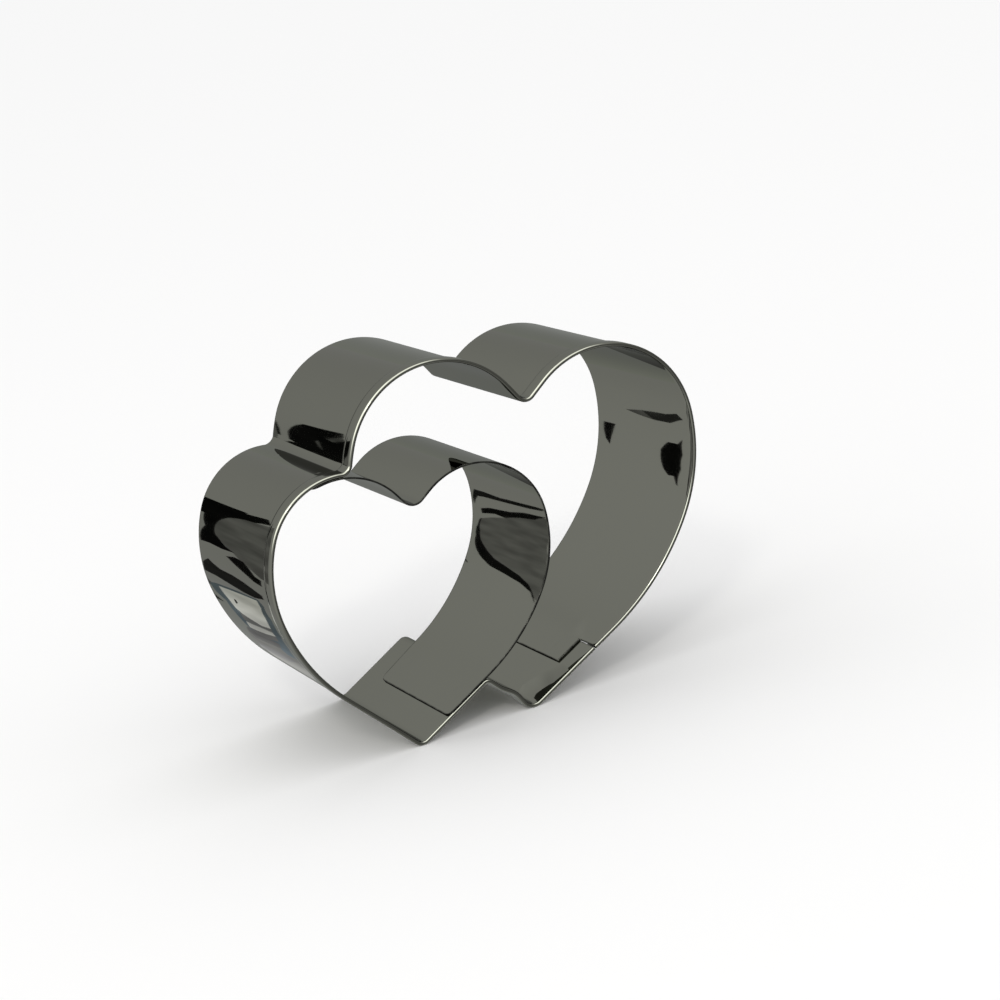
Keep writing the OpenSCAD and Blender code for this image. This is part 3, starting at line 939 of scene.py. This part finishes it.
# What the polished walls mirror of the room: dark and pale shapes and a window. Each has its
# tint, its brightness, its plane and its corners (x, z) in millimetres
FLAGS = {
    "left_frame": (WHITE, 0.015, LOBE_PLANE, (
        (-58.9, 46.5), (-62.5, 45), (-63.5, 49.1), (-64.1, 53.3), (-64.4, 58.9), (-68.2, 54.5),
        (-68.3, 48.1), (-67.4, 45.6), (-66.8, 40.4), (-66.5, 32.6), (-66.3, 26.3), (-66.3, 20.5),
        (-66.9, 17.7), (-67.5, 14.3), (-68.7, 12.4), (-66.1, 11.5), (-63.9, 12.3), (-62, 11.8),
        (-64.5, 23.7), (-63.2, 34.5),
    )),
    "left_upper_bar": (WHITE, 0.02, LOBE_PLANE, (
        (-65.7, 7.6), (-67.9, 9.3), (-69.4, 8.4), (-69.4, 4.4), (-68.8, 0.5), (-69.5, -0.8),
        (-67.2, -5.3), (-66.3, -3.7), (-66.3, -0.2), (-66, 3.2),
    )),
    "left_lower_bar": (WHITE, 0.07, LOBE_PLANE, (
        (-55.8, -1.8), (-59, 1.3), (-58.8, -0.4), (-58.8, -3.3), (-60.7, -4.5), (-61.7, -6.8),
        (-62, -9.8), (-62.1, -12.2), (-60.4, -14.6), (-57.1, -15.3), (-55.3, -13.8),
        (-54.4, -11.1), (-53.5, -8.5), (-51.8, -7),
    )),
    "left_panel": (WHITE, 0.42, LOBE_PLANE, (
        (-66.5, 32.6), (-66.8, 40.4), (-67.4, 45.6), (-68.3, 48.1), (-70.5, 57), (-80, 36),
        (-81, 17), (-74, -1), (-70.2, 0.8), (-69.7, 5.2), (-68.7, 8.2), (-68.5, 11.6),
        (-67.5, 14.3), (-66.9, 17.7), (-66.3, 20.5), (-66.3, 26.3),
    )),
    "upper_spot": (WHITE, 0.015, UPPER_PLANE, (
        (-72.7, 47.7), (-74.8, 41.6), (-75.7, 37.1), (-74.5, 37), (-73.8, 40.5),
    )),
    "upper_panel": (WHITE, 0.26, UPPER_PLANE, (
        (-81.9, 43.3), (-83, 47.8), (-83.8, 58.9), (-89.5, 46), (-91, 40), (-89.5, 34),
        (-86.5, 33.5), (-86.1, 36.7), (-84.8, 37.3), (-83.3, 39.6),
    )),
    "upper_frame": (WHITE, 0.015, UPPER_PLANE, (
        (-76.3, 42.6), (-76.1, 48.6), (-76.2, 55.5), (-78.4, 58.4), (-80, 61.1), (-81.5, 65),
        (-83.8, 59.4), (-83, 47.8), (-81.9, 43.3), (-83.3, 39.6), (-84.8, 37.3), (-86, 34.3),
        (-80.5, 34.3), (-77.4, 36.5),
    )),
    "right_bar": (WHITE, 0.04, LOBE_PLANE, (
        (-29.9, -6.8), (-31.1, -8.4), (-33.6, -10.4), (-34.9, -14.7), (-35.8, -19), (-36.5, -20.5),
        (-38.2, -17.3), (-38.1, -14.2), (-36.4, -10.2), (-34.9, -7.4), (-33.7, -5.4), (-33.3, -4),
        (-36.4, 1.8),
    )),
    "right_ledge": (WHITE, 0.02, LOBE_PLANE, (
        (-38.1, 2.4), (-38.5, -0.5), (-39.6, -2.6), (-40.6, -4.8), (-40.8, -9.5), (-41.9, -12.4),
        (-42.3, -15), (-42.8, -12.9), (-44.2, -8.3), (-43.3, -4.1), (-42.8, 1.1), (-40.9, 1.7),
        (-39.7, 5.3),
    )),
    "right_frame": (WHITE, 0.02, LOBE_PLANE, (
        (-40.7, 9.1), (-40.9, 8.5), (-42.4, 16.9), (-42.9, 23), (-43.7, 28.1), (-44.6, 32.3),
        (-46.4, 35.1), (-48.1, 38.5), (-48.5, 42.7), (-47.3, 48.1), (-46.2, 51), (-47.2, 46.3),
        (-46.4, 42.9), (-44.3, 40), (-42, 37.6), (-41.3, 33.7), (-41.3, 29.2), (-41.9, 21),
        (-41.4, 13.5),
    )),
    "right_panel": (WHITE, 0.42, LOBE_PLANE, (
        (-40.9, 8.5), (-42.8, 1.1), (-43.3, -4.1), (-44.2, -8.3), (-42.8, -12.9), (-45, -15),
        (-48.5, -9.5), (-53.4, 3.4), (-56.1, 15.5), (-56.3, 27.5), (-52.6, 41.2), (-48.2, 49.6),
        (-47.1, 49.2), (-48.5, 42.7), (-48.1, 38.5), (-46.4, 35.1), (-44.6, 32.3), (-43.7, 28.1),
        (-42.9, 23), (-42.4, 16.9),
    )),
    "far_spot": (WHITE, 0.015, LOBE_PLANE, (
        (-20.8, 15.8), (-23, 15.1), (-23.6, 19.3), (-23.8, 23.4), (-23.8, 25.4), (-22.8, 23.2),
        (-21.6, 18.9),
    )),
    "near_spot": (WHITE, 0.015, LOBE_PLANE, (
        (-33.5, 19.8), (-33.8, 14.6), (-35.7, 13.7), (-35.6, 10.1), (-38, 19.1), (-38.4, 28.6),
        (-36.9, 38.5), (-36.6, 38.1), (-36.7, 33.3), (-35.5, 33.6), (-34.7, 30.2), (-34.2, 26.1),
    )),
    "near_bar": (WHITE, 0.08, LOBE_PLANE, (
        (-23, 3), (-24.9, 0.8), (-26.4, -0.6), (-27.3, -3.5), (-30, -1.7), (-29.8, 3.3),
        (-27.3, 5.2),
    )),
    "near_bar_tail": (WHITE, 0.3, LOBE_PLANE, (
        (-21.2, 6), (-23, 3), (-27.3, 5.2), (-24.3, 5.9),
    )),
    "window_spot": (WHITE, 0.1, WINDOW_PLANE, (
        (-37.5, -3.1), (-37.7, -3.4), (-36.6, -4.4), (-35.7, -4.6), (-36.1, -4.1),
    )),
    "window_bar": (WHITE, 0.6, WINDOW_PLANE, (
        (-32.5, -6.5), (-32.4, -7.1), (-32.2, -8.9), (-32.2, -10.7), (-33.8, -11.9), (-32, -12.8),
        (-31.1, -11.4), (-29.6, -9.5), (-29.6, -8.2),
    )),
    "window_sill": (WHITE, 0.55, WINDOW_PLANE, (
        (-26.8, -9.6), (-27.1, -10.6), (-28.4, -12.3), (-30.5, -13.7), (-28, -14.7),
        (-25.4, -12.9), (-25, -11.1),
    )),
    "window_rail": (WHITE, 0.45, WINDOW_PLANE, (
        (-26.3, -9.1), (-25.6, -10.7), (-25.8, -12.7), (-26.4, -14.9), (-23.5, -15.5),
        (-22, -12.9), (-21.1, -10.8), (-23.4, -9.5),
    )),
    "window_step": (WHITE, 0.5, WINDOW_PLANE, (
        (-17.7, -10.4), (-18.8, -13.8), (-19.9, -16.7), (-18.1, -17.9), (-14.6, -15.8),
        (-13.3, -12.4), (-14.3, -10),
    )),
    "window_pane": (WARM_WHITE, 2.2, WINDOW_PLANE, (
        (-39, 0.9), (-42.6, -0.9), (-45.5, -2.4), (-43.2, -5.2), (-38, -9.2), (-33.8, -11.9),
        (-32.2, -10.7), (-32.2, -8.9), (-32.4, -7.1), (-33.2, -5.5), (-35.5, -3.1),
    )),
    "window_lower_pane": (WARM_WHITE, 1.7, WINDOW_PLANE, (
        (-29.3, -8.5), (-29.6, -9.5), (-31.1, -11.4), (-32, -12.8), (-30.5, -13.7), (-28.4, -12.3),
        (-27.1, -10.6), (-26.8, -9.6),
    )),
    "window_frame": (SKY_BLUE, 0.55, WINDOW_PLANE, (
        (-37.8, 2), (-39.4, 1.9), (-43.6, -0.1), (-46.4, -1.9), (-45, -4.5), (-39.3, -9.8),
        (-32.6, -14.2), (-27, -16.6), (-20.8, -18.1), (-20.9, -16.5), (-23.9, -15), (-23.3, -12.8),
        (-24.9, -10.8), (-27.3, -8.8), (-30.6, -6.3), (-34, -3.3), (-35, -1),
    )),
    "window_foot": (WARM_WHITE, 0.57, WINDOW_PLANE, (
        (-25.2, -9), (-24.9, -10.8), (-23.3, -12.8), (-23.9, -15), (-20.9, -16.5), (-20.8, -18.1),
        (-19.9, -19.9), (-14.6, -20.2), (-4, -16), (-10.8, -10.9), (-16.7, -10.5), (-21.4, -9.6),
    )),
    "tip_fill": (WHITE, 0.9, TIP_PLANE, (
        (0.8, 2.2), (2.2, 2.4), (3.6, 3.6), (5.2, 5.2), (6.6, 6.6), (5.6, 8.7), (4.8, 7.7),
        (4.1, 6.8), (3.4, 6), (2.6, 5.3), (1.8, 4.7), (0.8, 4.4),
    )),
}
# Gap that keeps flags on one plane apart, the first nearest to the object
FLAG_GAP = 0.002 * MM

# Round cards that only mirrors see: name, direction, half angle in degrees, colour,
# strength in the middle and at the rim, and the share of the radius where the fade starts
CARDS = (
    ("bright_card", (-0.45, -0.25, 0.86), 51, (1.0, 1.0, 0.98), 6.4, 1.0, 0.6),
    ("upper_card", (-0.05, -0.35, 0.95), 38, (1.0, 1.0, 0.98), 5.2, 1.0, 0.6),
    ("front_card", (0.42, -0.85, -0.3), 36, WHITE, 0.28, 1.0, 0.75),
    ("right_card", (0.9, -0.25, -0.05), 50, WHITE, 0.35, 1.0, 0.7),
    ("lower_card", (-0.3, -0.35, -0.88), 40, WHITE, 0.45, 1.0, 0.7),
    ("back_card", (0, 1, 0), 19, WHITE, 0.12, 1.0, 0.8),
    ("far_card", (0.384, 0.885, -0.262), 34, (0.97, 1.0, 0.94), 0.08, 1.0, 0.0),
)
CARD_REACH = 3.0
CARD_CORNERS = 64

# Faint mottle of the flags: its scale, the range of the noise and the change of strength
MOTTLE_SCALE = 120.0
MOTTLE_RANGE = (0.3, 0.7)
MOTTLE_SPREAD = 0.25

FLOOR_GRAIN_SCALE = 400.0
LAMP_PLACE = Vector((-0.42, -0.62, 0.62))
LAMP_TINT = (1.0, 0.97, 0.92)
SENSOR_WIDTH = 36
CLIP_START = 0.01
CLIP_END = 50


class CUTTER_OT_stage(bpy.types.Operator):
    """Set the floor, the world, the lamps, the flags and the camera"""

    bl_idname = "cutter.stage"
    bl_label = "Stage and Camera"

    def execute(self, context):
        stage = context.scene.cutter_stage
        self.floor(stage)
        self.world(context.scene, stage)
        self.lamps(stage)
        self.flags()
        self.camera(context.scene, stage)
        context.scene.view_settings.view_transform = "Standard"
        return {"FINISHED"}

    def floor(self, stage):
        half = stage.floor_size / 2
        corners = [(-half, -half, 0), (half, -half, 0), (half, half, 0), (-half, half, 0)]
        thing = helper("floor", corners, (), [(0, 1, 2, 3)])
        material, tree = new_material("pale_floor")
        at = tree.add("ShaderNodeTexCoord").outputs["Object"]
        grain = tree.noise(at, FLOOR_GRAIN_SCALE, detail=3.0)
        bump = tree.add("ShaderNodeBump", Strength=0.05, Distance=0.1 * MM, Height=grain)
        matt = tree.add("ShaderNodeBsdfDiffuse", Color=(*stage.floor, 1), Normal=bump)
        tree.add("ShaderNodeOutputMaterial", Surface=matt)
        thing.data.materials.append(material)
        thing.visible_glossy = False

    def world(self, scene, stage):
        world = bpy.data.worlds.new("pale_studio")
        scene.world = world
        world.use_nodes = True
        world.node_tree.nodes.clear()
        tree = Tree(world.node_tree)
        path = tree.add("ShaderNodeLightPath").outputs
        seen = tree.math("MAXIMUM", path["Is Camera Ray"], path["Is Glossy Ray"])
        seen = tree.math("MAXIMUM", seen, path["Is Transmission Ray"])
        strength = tree.ranged(seen, 0.0, 1.0, stage.sky, 1.0, False)
        glow = tree.add("ShaderNodeBackground", Color=(1, 1, 1, 1), Strength=strength)
        tree.add("ShaderNodeOutputWorld", Surface=glow)

    def lamps(self, stage):
        lamp = bpy.data.lights.new("key_lamp", "AREA")
        lamp.shape = "DISK"
        lamp.size = stage.key_size
        lamp.energy = stage.key_power
        lamp.color = LAMP_TINT
        thing = bpy.data.objects.new("key_lamp", lamp)
        thing.location = LAMP_PLACE
        thing.rotation_euler = (-LAMP_PLACE).to_track_quat("-Z", "Y").to_euler()
        bpy.context.scene.collection.objects.link(thing)

    def flags(self):
        for k, (name, (tint, brightness, plane, corners)) in enumerate(FLAGS.items()):
            points = [Vector((x * MM, plane * MM + k * FLAG_GAP, z * MM)) for x, z in corners]
            self.mirrored(name + "_flag", points, tint, brightness)
        for name, way, half_angle, tint, *strengths in CARDS:
            centre = Vector(way).normalized() * CARD_REACH
            turned = centre.to_track_quat("Z", "Y")
            r = CARD_REACH * tan(radians(half_angle))
            rounds = (2 * pi * i / CARD_CORNERS for i in range(CARD_CORNERS))
            points = [centre + turned @ Vector((r * cos(t), r * sin(t), 0)) for t in rounds]
            self.mirrored(name, points, tint, *strengths)

    def mirrored(self, name, points, tint, middle, rim=None, fade=0.0):
        """A glowing shape that only mirrors see. A card also fades from its middle to its rim."""
        shape = helper(name, points, (), [tuple(range(len(points)))])
        material, tree = new_material(name)
        at = tree.add("ShaderNodeTexCoord").outputs["Object"]
        mottle = tree.noise(at, MOTTLE_SCALE)
        low = (1 - MOTTLE_SPREAD) * middle
        high = (1 + MOTTLE_SPREAD) * middle
        strength = tree.ranged(mottle, *MOTTLE_RANGE, low, high)
        if rim is not None:
            centre = sum(points, Vector()) / len(points)
            away = tree.vector("DISTANCE", at, tuple(centre)).outputs["Value"]
            r = (points[0] - centre).length
            strength = tree.ranged(away, fade * r, r, middle, rim, False)
        glow = tree.add("ShaderNodeEmission", Color=(*tint, 1), Strength=strength)
        tree.add("ShaderNodeOutputMaterial", Surface=glow)
        shape.data.materials.append(material)
        shape.visible_camera = False
        shape.visible_diffuse = False
        shape.visible_shadow = False

    def camera(self, scene, stage):
        camera = bpy.data.cameras.new("camera")
        camera.lens = stage.lens
        camera.sensor_width = SENSOR_WIDTH
        camera.clip_start = CLIP_START
        camera.clip_end = CLIP_END
        thing = bpy.data.objects.new("camera", camera)
        back = -CAMERA_LOOK.normalized()
        right = CAMERA_UP.cross(back).normalized()
        up = back.cross(right)
        turned = Matrix((right, up, back)).transposed().to_4x4()
        thing.matrix_world = Matrix.Translation(CAMERA_PLACE) @ turned
        scene.collection.objects.link(thing)
        scene.camera = thing


class CUTTER_PT_panel(bpy.types.Panel):
    """Sizes, finish and stage of the cutter"""

    bl_label = "Cookie Cutter"
    bl_space_type = "VIEW_3D"
    bl_region_type = "UI"
    bl_category = "Cutter"

    def draw(self, context):
        layout = self.layout
        for name in GROUPS:
            group = getattr(context.scene, name)
            box = layout.box()
            for key in group.__annotations__:
                box.prop(group, key)
        for kind in OPERATORS:
            layout.operator(kind.bl_idname)


GROUPS = {
    "cutter_bands": CutterBandSizes,
    "cutter_large": CutterLargeHeart,
    "cutter_small": CutterSmallHeart,
    "cutter_finish": CutterFinish,
    "cutter_stage": CutterStage,
}
OPERATORS = (
    CUTTER_OT_outer_band,
    CUTTER_OT_inner_band,
    CUTTER_OT_welds,
    CUTTER_OT_stage,
)


def register():
    for kind in (*GROUPS.values(), *OPERATORS, CUTTER_PT_panel):
        bpy.utils.register_class(kind)
    for name, kind in GROUPS.items():
        setattr(bpy.types.Scene, name, PointerProperty(type=kind))


def unregister():
    for name in GROUPS:
        delattr(bpy.types.Scene, name)
    for kind in reversed((*GROUPS.values(), *OPERATORS, CUTTER_PT_panel)):
        bpy.utils.unregister_class(kind)


def main():
    register()
    bpy.ops.cutter.stage()
    bpy.ops.cutter.outer_band()
    bpy.ops.cutter.inner_band()
    bpy.ops.cutter.welds()
    bpy.context.view_layer.update()


if __name__ == "__main__":
    main()
